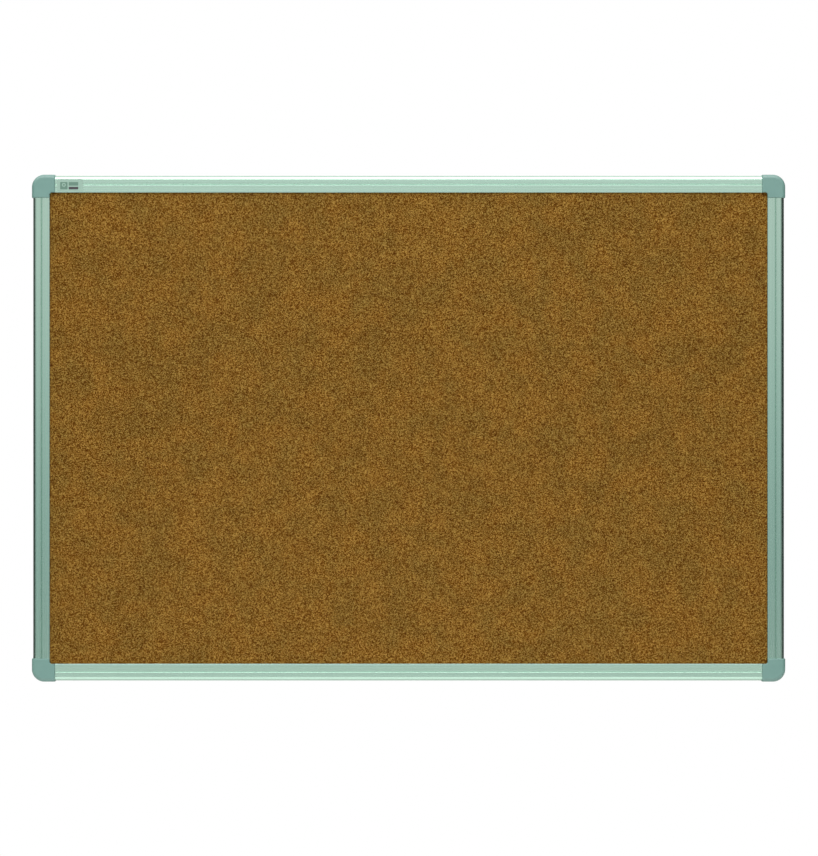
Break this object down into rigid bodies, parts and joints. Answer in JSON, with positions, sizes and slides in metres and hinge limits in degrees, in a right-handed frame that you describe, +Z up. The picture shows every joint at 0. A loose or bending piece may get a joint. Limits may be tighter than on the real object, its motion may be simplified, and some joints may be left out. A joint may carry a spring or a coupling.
{
  "type": "cork bulletin board",
  "caption": "Wall-hung cork bulletin board with silver extruded aluminium rails, rounded moulded corner caps and a pinning surface of fine-grained cork.",
  "frame": {"origin": "middle of the board on the wall plane, which the backs of the four corner caps lie in", "axes": "+X to the right as seen from the front, +Y into the wall, +Z up; the cork faces -Y, its front 17.7 mm out from the wall and 1.5 mm behind the rails' faces"},
  "size_m": [0.9024, 0.021, 0.6074],
  "materials": {
    "anodised_aluminium": "satin",
    "moulded_plastic": "satin",
    "plated_steel": "satin",
    "cork": "matte",
    "softboard": "matte",
    "hardboard": "matte",
    "label": "satin"
  },
  "bodies": {
    "root": {"rail_top": "anodised_aluminium", "rail_bottom": "anodised_aluminium", "rail_left": "anodised_aluminium", "rail_right": "anodised_aluminium", "corner_cap_top_left": "moulded_plastic", "corner_cap_top_right": "moulded_plastic", "corner_cap_bottom_left": "moulded_plastic", "corner_cap_bottom_right": "moulded_plastic", "screw_top_rail_left": "plated_steel", "screw_top_rail_right": "plated_steel", "screw_bottom_rail_left": "plated_steel", "screw_bottom_rail_right": "plated_steel", "screw_left_rail_top": "plated_steel", "screw_left_rail_bottom": "plated_steel", "screw_right_rail_top": "plated_steel", "screw_right_rail_bottom": "plated_steel", "cork_sheet": "cork", "core_board": "softboard", "backing_sheet": "hardboard", "label": "label"}
  },
  "joints": []
}
